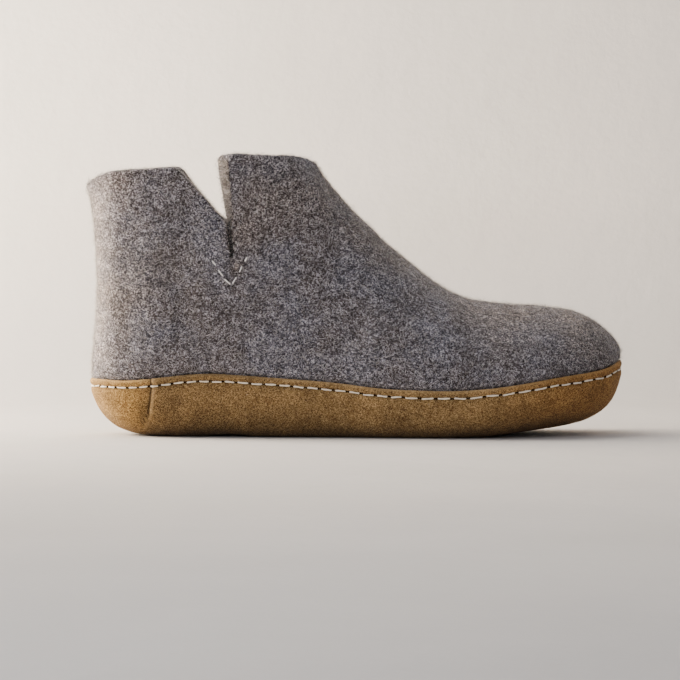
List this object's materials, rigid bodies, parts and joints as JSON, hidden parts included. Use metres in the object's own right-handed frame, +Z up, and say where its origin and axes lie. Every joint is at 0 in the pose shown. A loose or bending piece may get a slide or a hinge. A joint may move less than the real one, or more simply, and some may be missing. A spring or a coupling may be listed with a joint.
{
  "type": "felt slipper",
  "caption": "Ankle-high right slipper: a hollow felted-wool upper with a V notch and slit at each side, in a stitched suede cup sole, with a felt footbed.",
  "frame": {"origin": "on the floor under the middle of the slipper's box", "axes": "+X towards the toe, +Y towards the foot's inner side, +Z up"},
  "size_m": [0.2695, 0.1008, 0.1414],
  "materials": {
    "upper_felt": "fuzzy, heathered grey-brown wool felt",
    "sole_suede": "napped tan suede",
    "insole_felt": "plain wool felt"
  },
  "bodies": {
    "root": {"upper": "upper_felt", "sole": "sole_suede", "insole": "insole_felt"}
  },
  "joints": []
}
